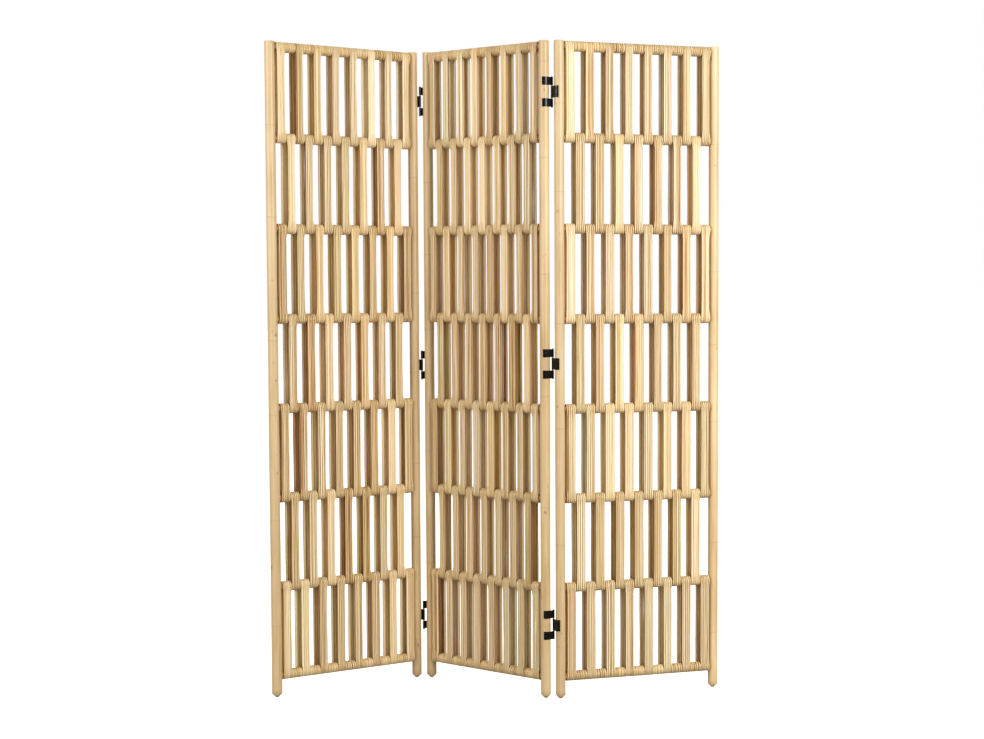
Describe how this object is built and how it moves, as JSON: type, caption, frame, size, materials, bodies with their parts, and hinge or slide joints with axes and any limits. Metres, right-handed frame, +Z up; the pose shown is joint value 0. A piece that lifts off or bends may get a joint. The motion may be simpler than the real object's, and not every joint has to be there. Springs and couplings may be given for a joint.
{
  "type": "folding room divider screen",
  "caption": "Free-standing folding privacy screen: rattan panels with staggered woven slats on round poles, joined by black strap hinges.",
  "frame": {"origin": "on the floor, under the middle of the bounding box of the screen as it stands in the zigzag", "axes": "+Z up; +Y the way the picture looks, so -Y is the side seen; +X to the right"},
  "size_m": [1.1694, 0.3114, 1.7],
  "materials": {
    "pole": "satin clear lacquer over light honey rattan",
    "rail": "satin",
    "peel": "satin peeled rattan",
    "hinge_metal": "gloss black lacquer",
    "pin_metal": "satin black"
  },
  "bodies": {
    "middle_panel": {"middle_panel_left_pole": "pole", "middle_panel_right_pole": "pole", "middle_panel_rail_1": "rail", "middle_panel_rail_2": "rail", "middle_panel_rail_3": "rail", "middle_panel_rail_4": "rail", "middle_panel_rail_5": "rail", "middle_panel_rail_6": "rail", "middle_panel_rail_7": "rail", "middle_panel_rail_8": "rail", "middle_panel_woven_peel": "peel", "left_hinge_lower_top_strap": "hinge_metal", "left_hinge_lower_bottom_strap": "hinge_metal", "left_hinge_lower_pin": "pin_metal", "left_hinge_centre_top_strap": "hinge_metal", "left_hinge_centre_bottom_strap": "hinge_metal", "left_hinge_centre_pin": "pin_metal", "left_hinge_upper_top_strap": "hinge_metal", "left_hinge_upper_bottom_strap": "hinge_metal", "left_hinge_upper_pin": "pin_metal", "right_hinge_lower_top_strap": "hinge_metal", "right_hinge_lower_bottom_strap": "hinge_metal", "right_hinge_lower_pin": "pin_metal", "right_hinge_centre_top_strap": "hinge_metal", "right_hinge_centre_bottom_strap": "hinge_metal", "right_hinge_centre_pin": "pin_metal", "right_hinge_upper_top_strap": "hinge_metal", "right_hinge_upper_bottom_strap": "hinge_metal", "right_hinge_upper_pin": "pin_metal"},
    "left_panel": {"left_panel_left_pole": "pole", "left_panel_right_pole": "pole", "left_panel_rail_1": "rail", "left_panel_rail_2": "rail", "left_panel_rail_3": "rail", "left_panel_rail_4": "rail", "left_panel_rail_5": "rail", "left_panel_rail_6": "rail", "left_panel_rail_7": "rail", "left_panel_rail_8": "rail", "left_panel_woven_peel": "peel", "left_hinge_lower_middle_strap": "hinge_metal", "left_hinge_centre_middle_strap": "hinge_metal", "left_hinge_upper_middle_strap": "hinge_metal"},
    "right_panel": {"right_panel_left_pole": "pole", "right_panel_right_pole": "pole", "right_panel_rail_1": "rail", "right_panel_rail_2": "rail", "right_panel_rail_3": "rail", "right_panel_rail_4": "rail", "right_panel_rail_5": "rail", "right_panel_rail_6": "rail", "right_panel_rail_7": "rail", "right_panel_rail_8": "rail", "right_panel_woven_peel": "peel", "right_hinge_lower_middle_strap": "hinge_metal", "right_hinge_centre_middle_strap": "hinge_metal", "right_hinge_upper_middle_strap": "hinge_metal"}
  },
  "joints": [
    {"name": "left_fold", "type": "hinge", "parent": "middle_panel", "child": "left_panel", "pos_m": [-0.21643, 0.13821, 0.8585], "axis": [0, 0, 1], "range_deg": [-78.5, 101.5]},
    {"name": "right_fold", "type": "hinge", "parent": "middle_panel", "child": "right_panel", "pos_m": [0.15233, -0.13205, 0.873], "axis": [0, 0, 1], "range_deg": [-60.5, 119.5]}
  ]
}
